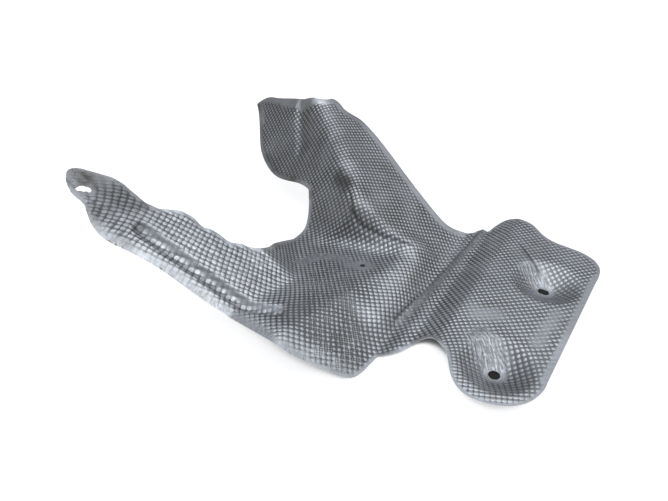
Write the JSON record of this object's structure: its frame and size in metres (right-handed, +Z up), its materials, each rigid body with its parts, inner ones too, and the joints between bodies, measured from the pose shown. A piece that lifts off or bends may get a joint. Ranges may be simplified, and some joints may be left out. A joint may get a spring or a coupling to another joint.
{
  "type": "front panel heat shield",
  "caption": "Pressed embossed aluminium heat shield: a flat plate with dished bolt seats folds up to a body that splits into spread arms.",
  "frame": {"origin": "centre of the round plate hole, on the underside of its dished seat", "axes": "+Z up out of the round hole; +Y along the hole line to the slotted hole; +X towards the plate's free edge"},
  "size_m": [0.4606, 0.3497, 0.1182],
  "materials": {
    "embossed_aluminium": "embossed mill finish"
  },
  "bodies": {
    "root": {"heat_shield": "embossed_aluminium"}
  },
  "joints": []
}
